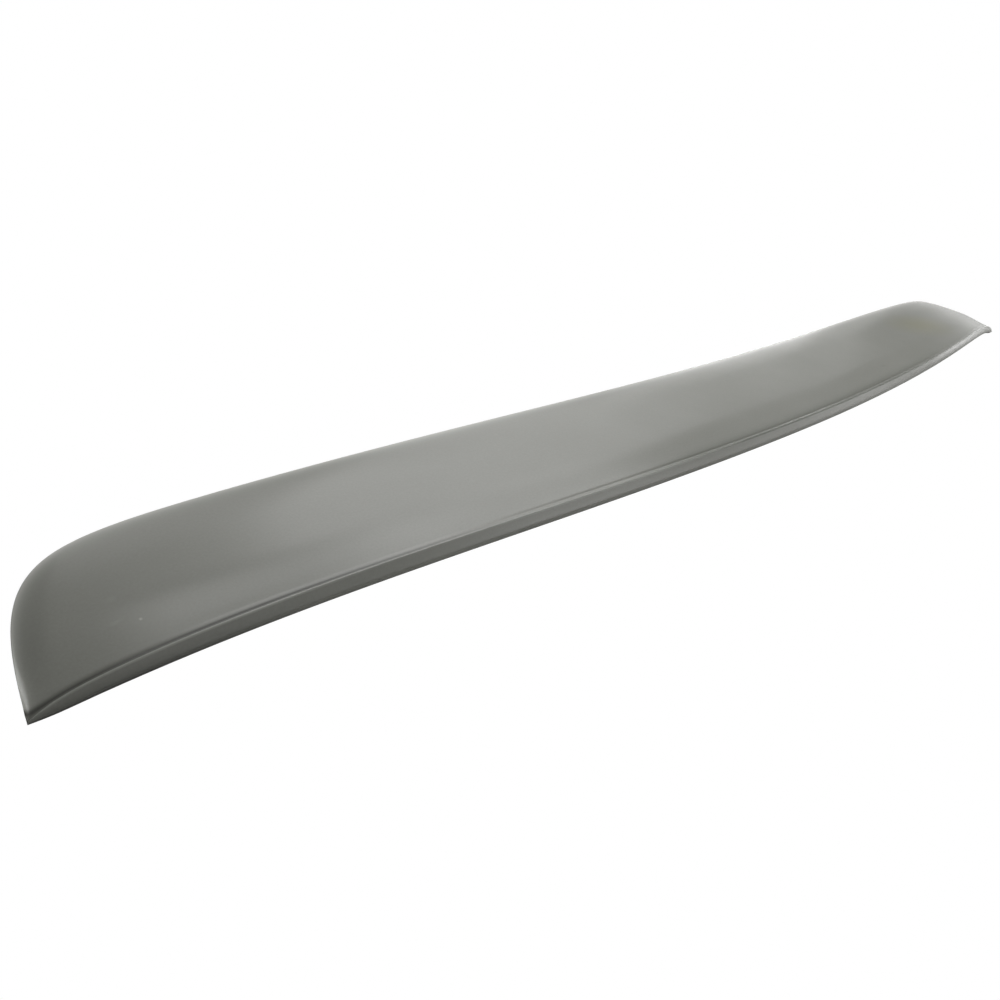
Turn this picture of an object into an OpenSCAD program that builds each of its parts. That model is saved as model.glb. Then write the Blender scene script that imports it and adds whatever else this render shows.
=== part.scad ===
// Roof spoiler for a saloon car: one primed, one-piece moulding.
// X runs along the length, +Y points from the front riser to the rear rim, +Z is up.
// The middle of the footprint is the origin, and the lowest point is at Z = 0.

/* [Overall] */
// Length from tip to tip
span = 1150; // [900:5:1300]
// How far the middle of the front edge stands ahead of the tips
front_bow = 53; // [20:1:80]
// How fast the front edge falls back to the tips
front_fullness = 1.9; // [1.5:0.1:3]
// Height of the front crease above the tips
front_crown = 17.6; // [5:0.1:40]
// How flat the front crease stays before it drops to the tips
crown_fullness = 7.2; // [2:0.1:12]

/* [Rear rim] */
// Distance of the rear rim behind the tips, at the middle
rear_reach = 50; // [30:1:90]
// How much further back the rim lies towards its rounded ends
rear_sweep = 22.5; // [0:0.5:50]
// Height of the rear rim above the tips, at the middle
rear_height = 35.7; // [15:0.1:70]
// How much lower the rim is at its ends
rear_end_drop = 7.5; // [0:0.5:20]
// Extra height of the rim between the middle and the ends
rear_hump = 5; // [0:0.5:15]
// How square the rounded rear corners are
corner_power = 31; // [10:1:60]
// Thickness of the free rim
rim_t = 2.6; // [1.5:0.1:5]

/* [Tips] */
// Extra fall of the front crease right at the tips
tip_drop = 3.4; // [0:0.1:8]
// How far forward the crease turns at the tips
tip_hook = 1.4; // [0:0.1:5]
// How much thinner the riser is at the very tips
tip_thin = 6; // [0:0.1:6]

/* [Face] */
// How far the face rolls down to the rim
roll_drop = 2.2; // [0:0.1:8]
// How much more it rolls down at the ends, as a share
roll_end_gain = 0.5; // [0:0.1:2]
// Width of the rolled strip along the rear
roll_rear_w = 30; // [10:1:60]
// Width of the rolled strip at the ends
roll_end_w = 15; // [5:1:40]
// Hollow of the face between the front crease and the rear strip
face_hollow = 0.5; // [0:0.1:5]

/* [Front riser] */
// Height of the riser under the front crease, at the middle
riser_h = 9.1; // [7.5:0.1:20]
// How much lower the riser is near the tips, as a share of its height
riser_fall = 0.2; // [0:0.01:0.5]
// How far the foot of the riser stands in front of the crease
riser_lean = 1.8; // [0:0.1:5]
// Radius that turns the riser under into the base
riser_r = 3.4; // [0.5:0.1:6]
// Width of the raised bead along the front crease
bead_w = 0.9; // [0.5:0.1:5]
// Depth of the fine groove behind the bead
groove_d = 0.25; // [0:0.05:2]
// Distance of the groove from the crease
groove_at = 2.4; // [1.5:0.1:6]

/* [Underside] */
// Where the base ends and the overhang starts, as a share of the depth
base_share = 0.72; // [0.5:0.01:0.8]
// Height of the base's rear edge below the tips
base_drop = 5.6; // [0:0.5:15]
// Thickness that is left over the base at the ends
end_t = 5; // [3:0.5:10]

/* [Hidden] */
primer = [0.60, 0.61, 0.57];
half = span / 2;
mid_steps = 62;
end_steps = 24;
end_from = 77;
face_steps = 22;

function clamp01(v) = min(1, max(0, v));
function smooth01(v) = let (c = clamp01(v)) c * c * (3 - 2 * c);
function mix(a, b, s) = a + (b - a) * s;

// Outline curves as functions of u, the distance from the middle over half the length
function crease_y(u) = -front_bow * (1 - pow(u, front_fullness)) - tip_hook * pow(u, 50);
function crease_z(u) = front_crown * (1 - pow(u, crown_fullness)) - tip_drop * pow(u, 50);
function rear_line(u) = rear_reach + rear_sweep * u * u;
function corner(u) = max(0, 1 - pow(u, corner_power));
function rim_y(u) = rear_line(u) * pow(corner(u), 1.12);
function rim_z(u) = (rear_height - rear_end_drop * u * u + 4 * rear_hump * u * u * (1 - u * u))
    * pow(corner(u), 1.06);
// Distance along X from the end edge at depth y
function end_gap(u, y) = half * ((y <= 0 ? 1
    : pow(max(0, 1 - pow(min(1, y / rear_line(u)), 1 / 1.12)), 1 / corner_power)) - u);

// Height of the face at station u and share t of its depth
function face_z(u, t) =
    let (cy = crease_y(u), cz = crease_z(u), ry = rim_y(u), rz = rim_z(u),
         depth = ry - cy, e = clamp01(depth / 30),
         y = mix(cy, ry, t),
         rear = pow(clamp01(1 - (1 - t) * depth / roll_rear_w), 2),
         side = pow(clamp01(1 - end_gap(u, y) / roll_end_w), 2),
         fall = 1 - (1 - rear) * (1 - side),
         start = roll_drop * (1 + roll_end_gain * pow(u, 12)) * e * smooth01(depth * t / 30))
    mix(cz, rz, t) + start * (1 - fall) - face_hollow * e * 4 * t * (1 - t);

// Closed section at station u: bead, face, rim, underside, base, riser
function section(u) =
    let (cy = crease_y(u), cz = crease_z(u), ry = rim_y(u), rz = rim_z(u),
         depth = ry - cy, e = clamp01(depth / 30),
         riser = max(1.2, riser_h * (1 - riser_fall * pow(u, 10)) - tip_thin * pow(u, 60)),
         bw = bead_w * e, gd = groove_d * e, ga = groove_at * e, rt = rim_t * (0.35 + 0.65 * e),
         r = min(riser_r, riser * 0.45),
         t0 = clamp01(2 * ga / max(depth, 0.01)),
         zb = mix(-base_drop, face_z(u, base_share) - mix(1.2, end_t, e),
                  smooth01((u * half - 0.72 * half) / (0.25 * half))),
         bz = cz - riser,
         by = cy + r,
         foot = riser_lean * e * riser / riser_h,
         over = 1 - base_share,
         under = [[0.80, 0], [0.56, 0.14], [0.32, 0.48], [0.12, 0.85], [0, 1]])
    concat(
        [[cy, cz - 0.5 * bw], [cy + 0.15 * bw, cz - 0.15 * bw], [cy + 0.5 * bw, cz]],
        [for (g = [[0.5, 0.25], [0.75, 0.75], [1, 1], [1.3, 0.7], [1.6, 0.2]])
            let (t = g[0] * t0 / 2)
            [mix(cy, ry, t), face_z(u, t) - g[1] * gd]],
        [for (i = [0 : face_steps])
            let (s = i / face_steps, t = mix(t0, 1, 1 - pow(1 - s, 1.25)))
            [mix(cy, ry, t), face_z(u, t)]],
        [[ry - 0.12 * rt, rz - 0.6 * rt], [ry - 0.5 * rt * e, rz - rt]],
        [for (p = under)
            let (t = base_share + over * p[0])
            [mix(cy, ry, t), mix(face_z(u, t) - rt * 1.15, zb, p[1])]],
        [for (s = [0.25, 0.5, 0.75])
            [mix(mix(cy, ry, base_share), by, s), mix(zb, bz, s)]],
        [for (k = [0 : 3])
            [by - (r + foot) * sin(30 * k), bz + r * (1 - cos(30 * k))]],
        [for (s = [0.35, 0.7])
            [cy - foot * (1 - pow(s, 1.2)), mix(bz + r, cz - 0.5 * bw, s)]]);

// Stations from tip to tip, close together around the rounded corners
end_u = [for (i = [0 : end_steps - 1])
    pow(cos(7 + (end_from - 7) * i / end_steps), 2 / corner_power)];
u_in = pow(cos(end_from), 2 / corner_power);
stations = concat(
    [for (u = end_u) -u],
    [for (i = [0 : mid_steps]) mix(-u_in, u_in, i / mid_steps)],
    [for (i = [0 : end_steps - 1]) end_u[end_steps - 1 - i]]);
rings = [for (s = stations) section(abs(s))];
count = len(rings[0]);
y_low = min([for (r = rings) min([for (p = r) p[0]])]);
y_high = max([for (r = rings) max([for (p = r) p[0]])]);
z_low = min([for (r = rings) min([for (p = r) p[1]])]);

module spoiler() {
    color(primer)
    translate([0, -(y_low + y_high) / 2, -z_low])
    polyhedron(
        points = [for (i = [0 : len(stations) - 1]) for (p = rings[i]) [half * stations[i], p[0], p[1]]],
        faces = concat(
            [[for (j = [0 : count - 1]) j]],
            [for (i = [0 : len(stations) - 2]) for (j = [0 : count - 1])
                let (k = (j + 1) % count, a = i * count, b = (i + 1) * count)
                each [[a + j, b + j, b + k], [a + j, b + k, a + k]]],
            [[for (j = [count - 1 : -1 : 0]) (len(stations) - 1) * count + j]]),
        convexity = 10);
}

spoiler();
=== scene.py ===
"""Primed roof spoiler on a plain white ground."""
import math

import bmesh
import bpy
import numpy as np
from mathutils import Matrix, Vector


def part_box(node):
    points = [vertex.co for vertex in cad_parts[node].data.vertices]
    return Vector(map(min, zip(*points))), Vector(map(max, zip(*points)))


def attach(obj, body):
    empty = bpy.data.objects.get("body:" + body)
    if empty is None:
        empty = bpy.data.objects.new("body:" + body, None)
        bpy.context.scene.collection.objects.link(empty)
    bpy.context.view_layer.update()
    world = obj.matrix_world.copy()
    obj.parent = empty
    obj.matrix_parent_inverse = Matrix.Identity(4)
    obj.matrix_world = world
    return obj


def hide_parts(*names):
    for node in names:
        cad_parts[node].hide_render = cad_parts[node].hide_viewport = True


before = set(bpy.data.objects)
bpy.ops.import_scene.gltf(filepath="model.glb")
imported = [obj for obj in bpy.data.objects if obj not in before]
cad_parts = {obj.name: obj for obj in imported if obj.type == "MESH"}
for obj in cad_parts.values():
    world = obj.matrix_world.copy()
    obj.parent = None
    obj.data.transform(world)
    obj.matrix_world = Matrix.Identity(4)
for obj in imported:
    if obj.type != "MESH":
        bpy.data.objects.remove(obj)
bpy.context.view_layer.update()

MM = 0.001
QUARTER_TURN = math.pi / 2

# Sizes in millimetres, the same as the solid's
SPAN = 1150.0
HALF = SPAN / 2
FRONT_BOW, FRONT_FULL = 53.0, 1.9
CROWN, CROWN_FULL = 17.6, 7.2
REAR_REACH, REAR_SWEEP = 50.0, 22.5
REAR_H, REAR_END_DROP, REAR_HUMP = 35.7, 7.5, 5.0
ROLL, ROLL_END, REAR_W, END_W, HOLLOW = 2.2, 0.5, 30.0, 15.0, 0.5
TIP_DROP, TIP_HOOK, TIP_THIN = 3.4, 1.4, 6.0
RISER_H, RISER_FALL, RISER_R, LEAN = 9.1, 0.2, 3.4, 1.8
BEAD_W, GROOVE_D, GROOVE_AT = 0.9, 0.25, 2.4
RIM_T, RIM_LEAST = 2.6, 0.35
BASE_SHARE, BASE_DROP, END_T, TIP_T = 0.72, 5.6, 5.0, 1.2

# A section that is this deep has its full thickness
FULL_DEPTH = 30.0
# The base starts to run out at this share of the half length, and is gone this much further on
BASE_ENDS_AT, BASE_ENDS_OVER = 0.72, 0.25
# Powers of the rounded rear corner along the length, in depth and in height
CORNER, CORNER_Y, CORNER_Z = 31.0, 1.12, 1.06
# Powers that keep a change near the tips: the drawn-down tip, its thinning, riser, roll, painted
# highlight of the rim
TIP_END, THIN_END, RISER_END, ROLL_POWER, HIGHLIGHT_END = 50, 60, 10, 12, 16


def smooth01(v):
    c = np.clip(v, 0, 1)
    return c * c * (3 - 2 * c)


def mix(a, b, s):
    return a + (b - a) * s


def outline(u):
    """Crease and rim of the station at share u of the half length: cy, cz, ry, rz."""
    corner = np.maximum(0, 1 - u ** CORNER)
    tip = u ** TIP_END
    cy = -FRONT_BOW * (1 - u ** FRONT_FULL) - TIP_HOOK * tip
    cz = CROWN * (1 - u ** CROWN_FULL) - TIP_DROP * tip
    ry = (REAR_REACH + REAR_SWEEP * u * u) * corner ** CORNER_Y
    hump = 4 * REAR_HUMP * u * u * (1 - u * u)
    rz = (REAR_H - REAR_END_DROP * u * u + hump) * corner ** CORNER_Z
    return cy, cz, ry, rz


def end_gap(u, y):
    """Distance along X from the end edge."""
    reach = REAR_REACH + REAR_SWEEP * u * u
    k = np.clip(np.maximum(y, 0) / reach, 0, 1)
    return HALF * (np.maximum(0, 1 - k ** (1 / CORNER_Y)) ** (1 / CORNER) - u)


def face_z(u, t):
    """Height of the face at share t of the depth. It rolls down to the rim, and at the ends too."""
    cy, cz, ry, rz = outline(u)
    depth = ry - cy
    full = np.clip(depth / FULL_DEPTH, 0, 1)
    rear = np.clip(1 - (1 - t) * depth / REAR_W, 0, 1) ** 2
    side = np.clip(1 - end_gap(u, mix(cy, ry, t)) / END_W, 0, 1) ** 2
    kept = (1 - rear) * (1 - side)
    roll = ROLL * (1 + ROLL_END * u ** ROLL_POWER) * full * smooth01(depth * t / FULL_DEPTH)
    return float(mix(cz, rz, t) + roll * kept - HOLLOW * full * 4 * t * (1 - t))


# Tones of the paint that each point of a section carries after its place: painted highlights, painted
# shade and the underside's finish
TONES = ("rim_highlight", "low_side", "riser_foot_shade", "bead_highlight", "crease_line_shade", "crease_band_shade")


def rim_highlight_tone(u, away):
    """Painted highlight and painted reflection this far from the free edge, less so at the ends: lighter
    colour where the rolled edge catches light.
    """
    near, wide = math.exp(-away / 2.8), math.exp(-away / 9)
    return (1 - 0.6 * u ** HIGHLIGHT_END) * (0.85 * near + 0.15 * wide)


def crease_shade_tones(away):
    """Painted shade this far behind the crease: a fine dark line and a broad dark band."""
    return math.exp(-((away - 1.6) / 1.3) ** 2), math.exp(-((away - 1.5) / 5.0) ** 2)


class Section:
    """Closed ring of points of one station, from the bead over the face and back underneath."""

    def __init__(self, u):
        self.u = u
        self.cy, self.cz, self.ry, self.rz = (float(v) for v in outline(u))
        self.depth = self.ry - self.cy
        self.full = min(1.0, self.depth / FULL_DEPTH)
        self.bead = BEAD_W * self.full
        self.rim = RIM_T * mix(RIM_LEAST, 1, self.full)
        # The face stops here, and the rounded edge of the rim takes over
        self.face_end = 1 - min(0.3, 0.7 * self.full / self.depth)
        self.riser = RISER_H * (1 - RISER_FALL * u ** RISER_END) - TIP_THIN * u ** THIN_END
        self.turn = min(RISER_R, 0.45 * self.riser)
        gone = float(smooth01((u - BASE_ENDS_AT) / BASE_ENDS_OVER))
        thin = face_z(u, BASE_SHARE) - mix(TIP_T, END_T, self.full)
        self.base_z = mix(-BASE_DROP, thin, gone)
        self.points = []
        self.add_bead()
        self.add_groove()
        self.add_face()
        self.add_rim()
        self.add_overhang()
        self.add_base()
        self.add_riser()

    def add(self, y, z, rim=0.0, low=0.0, foot=0.0, bead=0.0, crease=(0.0, 0.0)):
        self.points.append((y, z, rim, low, foot, bead, *crease))

    def add_bead(self):
        """Rounded bead along the front crease."""
        r = 0.5 * self.bead
        for a in np.linspace(0, QUARTER_TURN, 8):
            y, z = self.cy + r * (1 - math.cos(a)), self.cz - r * (1 - math.sin(a))
            # The bead carries the painted highlight along its edge and the painted shade of the crease
            # band
            self.add(y, z, bead=1.0, crease=(0.0, 0.8))

    def add_groove(self):
        """Soft fine groove between the bead and the face."""
        middle = GROOVE_AT * self.full
        for away in np.linspace(0.5 * self.bead, 2 * middle, 19)[1:]:
            settled = float(smooth01(2 * away / max(self.bead, 1e-6) - 1))
            dip = GROOVE_D * self.full * math.exp(-((away - middle) / (0.45 * GROOVE_AT)) ** 2)
            z = mix(self.cz, face_z(self.u, away / self.depth), settled) - dip
            # The groove carries the painted shade of the crease
            self.add(self.cy + away, z, crease=crease_shade_tones(away))

    def add_face(self):
        """Face from the groove to the rim, with points closer together towards the rim."""
        start = 2 * GROOVE_AT * self.full / self.depth
        for s in np.linspace(0, 1, 53)[1:]:
            t = mix(start, self.face_end, 1 - (1 - s) ** 1.35)
            away = self.depth * t
            # The rim's painted highlight and the crease's painted shade fade out over the face
            rim = rim_highlight_tone(self.u, self.depth - away)
            self.add(self.cy + away, face_z(self.u, t), rim=rim, crease=crease_shade_tones(away))

    def add_rim(self):
        """Rounded free edge of the rim."""
        top = face_z(self.u, self.face_end)
        nose_z = self.rz - 0.55 * self.rim
        # The rounded edge and the strip just below it carry the painted highlight
        edge_highlight, below_highlight = rim_highlight_tone(self.u, 0), rim_highlight_tone(self.u, 1)
        for a in np.linspace(0, QUARTER_TURN, 6)[1:]:
            y = self.ry - 0.7 * self.full * (1 - math.sin(a))
            self.add(y, mix(top, self.rz - 0.3 * self.rim, 1 - math.cos(a)), rim=edge_highlight)
        self.add(self.ry, nose_z, rim=edge_highlight)
        for a in np.linspace(0, QUARTER_TURN, 5)[1:]:
            y = self.ry - 0.5 * self.rim * self.full * (1 - math.cos(a))
            self.add(y, nose_z - 0.45 * self.rim * math.sin(a), rim=below_highlight)

    def add_overhang(self):
        """Arched underside from the rim down to the rear of the base."""
        inset = 1 - 0.5 * self.rim * self.full / self.depth
        for s in np.linspace(0, 1, 15)[1:]:
            t = BASE_SHARE + (1 - BASE_SHARE) * (1 - s) * inset
            c = max(0, (s - 0.2) / 0.8)
            arch = 0.5 * c * c + 0.5 * float(smooth01(c))
            z = mix(face_z(self.u, t) - 1.15 * self.rim, self.base_z, arch)
            self.add(mix(self.cy, self.ry, t), z, low=1.0)

    def add_base(self):
        """Base from its rear edge to the foot of the riser."""
        rear_y, foot_y = mix(self.cy, self.ry, BASE_SHARE), self.cy + self.turn
        for s in np.linspace(0, 1, 9)[1:-1]:
            self.add(mix(rear_y, foot_y, s), mix(self.base_z, self.cz - self.riser, s), low=1.0)

    def add_riser(self):
        """Rounded foot, then the leaning riser up to the bead."""
        foot_z = self.cz - self.riser
        lean = LEAN * self.full * self.riser / RISER_H

        # Painted shade of the ground contact: darker towards the foot of the riser
        def foot_shade_tone(up):
            return (1 - up / self.riser) ** 1.5

        for a in np.linspace(0, QUARTER_TURN, 6):
            up = self.turn * (1 - math.cos(a))
            y = self.cy + self.turn - (self.turn + lean) * math.sin(a)
            self.add(y, foot_z + up, foot=foot_shade_tone(up))
        for s in np.linspace(0, 1, 11)[1:-1]:
            up = mix(self.turn, self.riser - 0.5 * self.bead, s)
            self.add(self.cy - lean * (1 - s ** 1.2), foot_z + up, foot=foot_shade_tone(up))


def stations():
    """Places of the sections along the length, close together around the rounded corners."""
    ends = [math.cos(a) ** (2 / CORNER) for a in np.radians(np.linspace(5, 77, 70))]
    middle = list(np.linspace(-ends[-1], ends[-1], 260))
    return [-u for u in ends[:-1]] + middle + ends[:-1][::-1]


def skin(rings, xs):
    """Closed skin: the ring at one tip is drawn along to the other, station by station."""
    bm = bmesh.new()
    tones = [bm.verts.layers.float.new(name) for name in TONES]

    def settle(loop, x, ring):
        for vert, (y, z, *values) in zip(loop, ring):
            vert.co = (x, y, z)
            for layer, value in zip(tones, values):
                vert[layer] = value

    loop = [bm.verts.new() for _ in rings[0]]
    settle(loop, xs[0], rings[0])
    edges = list(bm.faces.new(loop).edges)
    for x, ring in zip(xs[1:], rings[1:]):
        drawn = bmesh.ops.extrude_edge_only(bm, edges=edges)["geom"]
        fresh = {item for item in drawn if isinstance(item, bmesh.types.BMVert)}
        lines = [item for item in drawn if isinstance(item, bmesh.types.BMEdge)]
        edges = [edge for edge in lines if fresh.issuperset(edge.verts)]
        near = [[edge.other_vert(vert) for edge in vert.link_edges] for vert in loop]
        loop = [next(vert for vert in verts if vert in fresh) for verts in near]
        settle(loop, x, ring)
    bm.faces.new(loop)
    bmesh.ops.recalc_face_normals(bm, faces=bm.faces)
    for face in bm.faces:
        face.smooth = True
    mesh = bpy.data.meshes.new("spoiler_moulding")
    bm.to_mesh(mesh)
    bm.free()
    return mesh


def moulding():
    """The whole moulding where the solid stands, and how far that is from its curves' origin."""
    us = stations()
    rings = [Section(abs(u)).points for u in us]
    ys = [point[0] for ring in rings for point in ring]
    low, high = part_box("spoiler")
    shift_y = (low[1] + high[1]) / (2 * MM) - (min(ys) + max(ys)) / 2
    shift_z = -min(point[1] for ring in rings for point in ring)

    def moved(y, z, *tones):
        return MM * (y + shift_y), MM * (z + shift_z), *tones

    placed = [[moved(*point) for point in ring] for ring in rings]
    obj = bpy.data.objects.new("spoiler_moulding", skin(placed, [MM * HALF * u for u in us]))
    bpy.context.scene.collection.objects.link(obj)
    return obj, shift_y, shift_z


shell, SHIFT_Y, SHIFT_Z = moulding()


class Paint:
    """Material of a paint, with short ways to add its nodes."""

    def __init__(self, name):
        self.material = bpy.data.materials.new(name)
        self.material.use_nodes = True
        self.nodes = self.material.node_tree.nodes
        self.links = self.material.node_tree.links
        self.shader = self.nodes["Principled BSDF"]
        self.place = self.nodes.new("ShaderNodeTexCoord").outputs["Object"]

    def noise(self, scale, detail):
        node = self.nodes.new("ShaderNodeTexNoise")
        node.inputs["Scale"].default_value = scale
        node.inputs["Detail"].default_value = detail
        self.links.new(self.place, node.inputs["Vector"])
        return node.outputs["Fac"]

    def tone(self, name):
        node = self.nodes.new("ShaderNodeAttribute")
        node.attribute_name = name
        return node.outputs["Fac"]

    def spread(self, value, start, end, low=0.0, high=1.0):
        """The value's way from start to end, turned into low to high."""
        node = self.nodes.new("ShaderNodeMapRange")
        node.inputs["From Min"].default_value = start
        node.inputs["From Max"].default_value = end
        node.inputs["To Min"].default_value = low
        node.inputs["To Max"].default_value = high
        self.links.new(value, node.inputs["Value"])
        return node.outputs["Result"]

    def ramp(self, value, stops):
        node = self.nodes.new("ShaderNodeValToRGB")
        elements = node.color_ramp.elements
        for at, _ in stops[1:-1]:
            elements.new(at)
        for element, (at, colour) in zip(elements, stops):
            element.position = at
            element.color = (*colour, 1)
        self.links.new(value, node.inputs["Fac"])
        return node.outputs["Color"]

    def times(self, a, b):
        node = self.nodes.new("ShaderNodeMath")
        node.operation = "MULTIPLY"
        self.links.new(a, node.inputs[0])
        self.links.new(b, node.inputs[1])
        return node.outputs["Value"]

    def blend(self, share, under, over, mode="MIX"):
        """The first colour with the second laid over it. Numbers and colours are set, the rest linked."""
        node = self.nodes.new("ShaderNodeMix")
        node.data_type = "RGBA"
        node.blend_type = mode
        for name, value in (("Factor", share), ("A", under), ("B", over)):
            if isinstance(value, float):
                node.inputs[name].default_value = value
            elif isinstance(value, tuple):
                node.inputs[name].default_value = (*value, 1)
            else:
                self.links.new(value, node.inputs[name])
        return node.outputs["Result"]

    def spot(self, x, y, wide, deep, strength):
        """Full strength in the middle of an oval on the face, in millimetres, and 0 outside it."""
        scaled = self.nodes.new("ShaderNodeVectorMath")
        scaled.operation = "MULTIPLY"
        scaled.inputs[1].default_value = (1 / (MM * wide), 1 / (MM * deep), 0)
        self.links.new(self.place, scaled.inputs[0])
        away = self.nodes.new("ShaderNodeVectorMath")
        away.operation = "DISTANCE"
        away.inputs[1].default_value = (x / wide, (y + SHIFT_Y) / deep, 0)
        self.links.new(scaled.outputs["Vector"], away.inputs[0])
        return self.spread(away.outputs["Value"], 1.0, 0.2, high=strength)


# Clouds of the spray coat, its fine grain and its uneven surface: scale and detail of the noise
CLOUDS, GRAIN, UNEVEN = (9.0, 4.0), (900.0, 2.0), (650.0, 3.0)
CLOUD_DARK, CLOUD_LIGHT = (0.315, 0.318, 0.288), (0.345, 0.347, 0.317)
GRAIN_DARK, GRAIN_LIGHT = (0.93, 0.93, 0.93), (1.0, 1.0, 1.0)
SATIN, GLOSS_IOR = 0.26, 1.45
UNEVEN_STRENGTH, UNEVEN_HEIGHT = 0.05, 0.0004
UNDERSIDE, UNDERSIDE_ROUGH = (0.15, 0.15, 0.14), 0.75
# Painted highlights of the rim and the bead; painted shade of the crease and of the riser foot
RIM_HIGHLIGHT, BEAD_HIGHLIGHT = (0.90, 0.90, 0.86), (0.70, 0.70, 0.66)
CREASE_LINE_SHADE, CREASE_BAND_SHADE, FOOT_SHADE = (0.10, 0.10, 0.09), (0.17, 0.175, 0.15), (0.03, 0.03, 0.028)

# Painted shade and painted highlights that come and go along the part: name, colour, and strengths from
# the left tip at 0 to the right one at 1
ALONG = [
    # Painted shade along the crease: a fine dark line at the left tip and a broad dark band over the
    # right half
    ("crease_line_shade", CREASE_LINE_SHADE, [(0.0, 1.0), (0.08, 1.0), (0.15, 0.6), (0.20, 0.0)]),
    ("crease_band_shade", CREASE_BAND_SHADE, [(0.27, 0.0), (0.33, 0.8), (0.58, 0.7), (0.75, 0.2)]),
    # Painted shade at the foot of the riser near the left tip
    ("riser_foot_shade", FOOT_SHADE, [(0.0, 1.0), (0.04, 1.0), (0.07, 0.6), (0.10, 0.15), (0.15, 0.0)]),
    # Painted highlight along the bead where it catches the light, at the left tip and left of the middle
    ("bead_highlight", BEAD_HIGHLIGHT, [
        (0.0, 0.2), (0.04, 0.35), (0.09, 0.4), (0.13, 0.1), (0.22, 0.3), (0.33, 0.3), (0.38, 0.0),
    ]),
]

# Dust and smudges on the face, and a yellowish stain that also paints the shade of the bend before the
# raised right end: place, width and depth in mm, colour, strength
DUST, HAZE, STAIN_AND_BEND_SHADE = (0.75, 0.75, 0.71), (0.55, 0.55, 0.52), (0.31, 0.30, 0.20)
GREASE, SOOT = (0.20, 0.20, 0.19), (0.05, 0.05, 0.05)
MARKS = [
    (-524, 8, 0.9, 0.9, DUST, 0.55),
    (-532, 12, 3.2, 1.2, HAZE, 0.16),
    (-527, 23, 3.0, 2.0, HAZE, 0.10),
    (-113, 46, 9.0, 2.5, GREASE, 0.16),
    (-82, 50, 1.4, 0.9, SOOT, 0.80),
    (136, -32, 7.0, 2.5, GREASE, 0.14),
    # Yellowish stain, partly painted shade of the bend between the blade and the raised right end
    (348, 9, 70.0, 32.0, STAIN_AND_BEND_SHADE, 0.55),
]


def primer_material():
    """Satin primer with painted highlights on the edges, marks, painted shade along the crease and the
    riser foot, and a rough dark underside.
    """
    paint = Paint("satin_grey_primer")
    clouds = paint.ramp(paint.noise(*CLOUDS), [(0.3, CLOUD_DARK), (0.7, CLOUD_LIGHT)])
    grain = paint.ramp(paint.noise(*GRAIN), [(0.25, GRAIN_DARK), (0.75, GRAIN_LIGHT)])
    colour = paint.blend(1.0, clouds, grain, "MULTIPLY")
    for x, y, wide, deep, tint, strength in MARKS:
        colour = paint.blend(paint.spot(x, y, wide, deep, strength), colour, tint)
    # Painted highlight and painted reflection along the free edge of the rim
    colour = paint.blend(paint.tone("rim_highlight"), colour, RIM_HIGHLIGHT)
    axes = paint.nodes.new("ShaderNodeSeparateXYZ")
    paint.links.new(paint.place, axes.inputs["Vector"])
    along = paint.spread(axes.outputs["X"], -MM * HALF, MM * HALF)
    # Painted shade and painted highlights that come and go along the length
    for name, tint, strengths in ALONG:
        share = paint.ramp(along, [(at, (strength,) * 3) for at, strength in strengths])
        colour = paint.blend(paint.times(paint.tone(name), share), colour, tint)
    low_side = paint.tone("low_side")
    colour = paint.blend(low_side, colour, UNDERSIDE)
    rough = paint.spread(low_side, 0.0, 1.0, SATIN, UNDERSIDE_ROUGH)
    bump = paint.nodes.new("ShaderNodeBump")
    bump.inputs["Strength"].default_value = UNEVEN_STRENGTH
    bump.inputs["Distance"].default_value = UNEVEN_HEIGHT
    paint.links.new(paint.noise(*UNEVEN), bump.inputs["Height"])
    paint.links.new(colour, paint.shader.inputs["Base Color"])
    paint.links.new(rough, paint.shader.inputs["Roughness"])
    paint.links.new(bump.outputs["Normal"], paint.shader.inputs["Normal"])
    paint.shader.inputs["Roughness"].default_value = SATIN
    paint.shader.inputs["IOR"].default_value = GLOSS_IOR
    return paint.material


shell.data.materials.append(primer_material())
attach(shell, "root")
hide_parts("spoiler")

WHITE = (1, 1, 1, 1)
GROUND_REACH = 4.0
GROUND_COLOUR = (0.62, 0.62, 0.61, 1)
FILL_COLOUR, FILL_STRENGTH = (0.97, 1.0, 0.95, 1), 0.09


def white_for_camera(tree, seen, real, output):
    """The camera sees the one shader in plain white, and all else is lit by the real one."""
    out = tree.nodes.new(output)
    mixer = tree.nodes.new("ShaderNodeMixShader")
    path = tree.nodes.new("ShaderNodeLightPath")
    seen.inputs["Color"].default_value = WHITE
    seen.inputs["Strength"].default_value = 1.0
    tree.links.new(path.outputs["Is Camera Ray"], mixer.inputs["Fac"])
    tree.links.new(real.outputs[0], mixer.inputs[1])
    tree.links.new(seen.outputs[0], mixer.inputs[2])
    tree.links.new(mixer.outputs["Shader"], out.inputs["Surface"])


def white_ground():
    material = bpy.data.materials.new("white_ground")
    material.use_nodes = True
    tree = material.node_tree
    tree.nodes.clear()
    seen = tree.nodes.new("ShaderNodeEmission")
    real = tree.nodes.new("ShaderNodeBsdfDiffuse")
    real.inputs["Color"].default_value = GROUND_COLOUR
    white_for_camera(tree, seen, real, "ShaderNodeOutputMaterial")
    bm = bmesh.new()
    bmesh.ops.create_grid(bm, x_segments=1, y_segments=1, size=GROUND_REACH)
    mesh = bpy.data.meshes.new("ground")
    bm.to_mesh(mesh)
    bm.free()
    mesh.materials.append(material)
    obj = bpy.data.objects.new("ground", mesh)
    bpy.context.scene.collection.objects.link(obj)
    return obj


white_ground()


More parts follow.
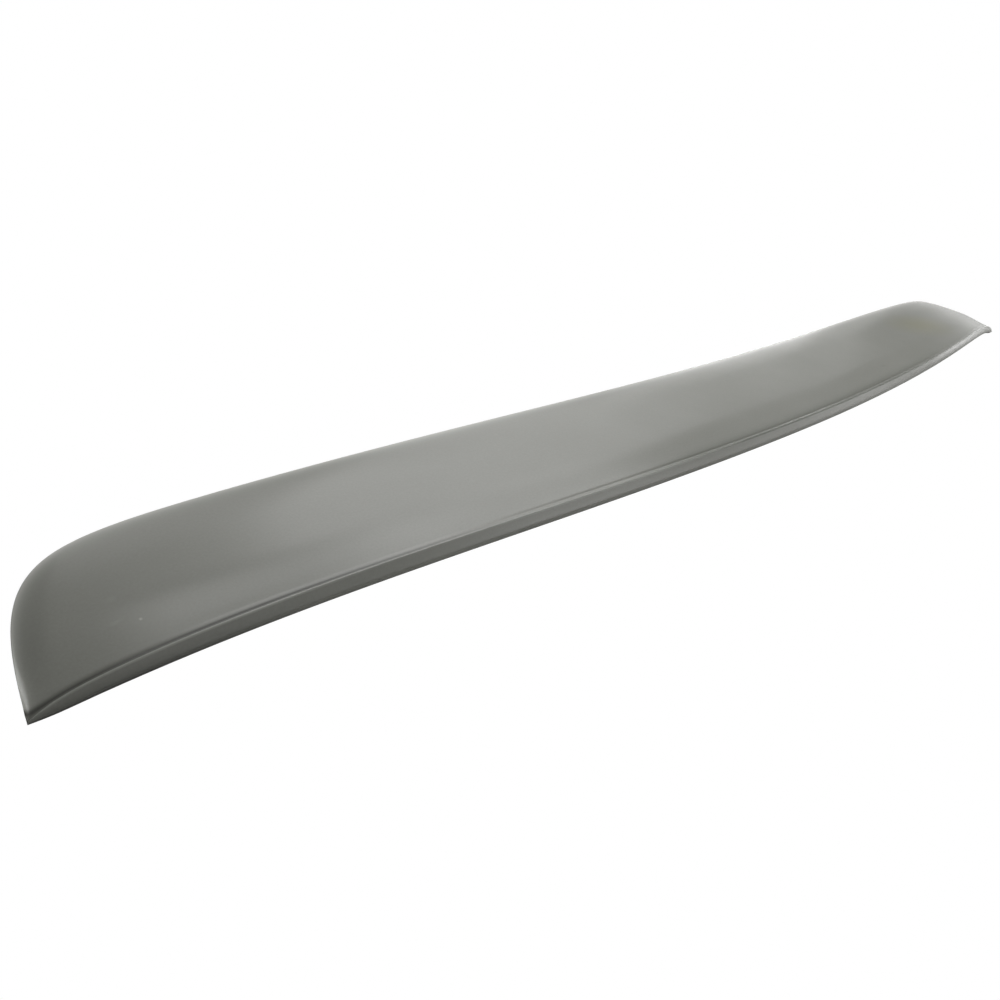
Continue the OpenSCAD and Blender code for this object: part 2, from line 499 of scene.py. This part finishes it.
def surroundings():
    world = bpy.data.worlds.new("studio")
    bpy.context.scene.world = world
    world.use_nodes = True
    tree = world.node_tree
    tree.nodes.clear()
    seen = tree.nodes.new("ShaderNodeBackground")
    fill = tree.nodes.new("ShaderNodeBackground")
    fill.inputs["Color"].default_value = FILL_COLOUR
    fill.inputs["Strength"].default_value = FILL_STRENGTH
    white_for_camera(tree, seen, fill, "ShaderNodeOutputWorld")


surroundings()


def soft_light(name, place, aim, size, watts):
    data = bpy.data.lights.new(name, "AREA")
    data.shape = "RECTANGLE"
    data.size, data.size_y = size
    data.energy = watts
    obj = bpy.data.objects.new(name, data)
    bpy.context.scene.collection.objects.link(obj)
    obj.location = place
    away = Vector(aim) - Vector(place)
    obj.rotation_euler = away.to_track_quat("-Z", "Y").to_euler()


# Sizes and places of the lights in metres
CENTRE = (0.0, 0.0, 0.0)
BANK_AWAY = 2.2
LARGE, SMALL = (1.10, 0.75), (0.75, 0.42)


def bank_panel(name, bearing, height, size, watts):
    """Panel of the bank behind and to the right: bearing from +Y to +X and height, in degrees."""
    b, h = math.radians(bearing), math.radians(height)
    flat = BANK_AWAY * math.cos(h)
    place = (flat * math.sin(b), flat * math.cos(b), BANK_AWAY * math.sin(h))
    soft_light(name, place, CENTRE, size, watts)


bank_panel("bank_high_left", 16, 48, LARGE, 2.3)
bank_panel("bank_high", 52, 48, LARGE, 4.05)
bank_panel("bank_top", 46, 56, SMALL, 0.7)
bank_panel("bank_middle", 52, 34, LARGE, 2.2)
bank_panel("bank_low", 50, 22, SMALL, 0.56)
bank_panel("bank_low_right", 65, 12, SMALL, 0.60)
bank_panel("bank_floor_right", 80, 4, (0.5, 0.2), 0.5)
bank_panel("bank_floor", 64, 8, (0.4, 0.16), 1.05)
bank_panel("bank_side", 80, 29, SMALL, 0.28)
soft_light("overhead_middle", (0.0, 0.1, 1.2), CENTRE, (0.6, 0.6), 3.45)
soft_light("overhead_right", (0.3, 0.1, 1.2), (0.3, 0.0, 0.0), (0.6, 0.6), 5.1)
soft_light("front_wide", (0.2, -1.8, 0.3), CENTRE, (1.6, 0.5), 2.2)
soft_light("front_low", (0.4, -0.9, 0.15), (0.0, -0.05, 0.0), (0.4, 0.25), 0.77)
soft_light("front_low_right", (1.0, -0.7, 0.12), (0.2, 0.0, 0.0), (0.8, 0.2), 0.76)
soft_light("end_card", (0.80, -0.08, 0.06), (0.45, 0.0, 0.02), (0.2, 0.12), 0.03)
soft_light("side_low", (1.5, -0.1, 0.12), (0.3, -0.05, 0.0), (0.4, 0.2), 0.77)

# The photograph's viewpoint in millimetres from the curves' origin, and its angles in degrees
VIEW_X, VIEW_Y, VIEW_Z = -701.2, -321.1, 177.4
VIEW_DOWN, VIEW_BEARING = 18.30, 49.80


def camera():
    data = bpy.data.cameras.new("photo_view")
    data.lens = 36.0
    data.sensor_width = 36.0
    data.clip_start = 0.01
    obj = bpy.data.objects.new("photo_view", data)
    bpy.context.scene.collection.objects.link(obj)
    obj.location = (MM * VIEW_X, MM * (VIEW_Y + SHIFT_Y), MM * (VIEW_Z + SHIFT_Z))
    obj.rotation_euler = (math.radians(90 - VIEW_DOWN), 0, -math.radians(VIEW_BEARING))
    bpy.context.scene.camera = obj


camera()
bpy.context.scene.view_settings.view_transform = "Standard"
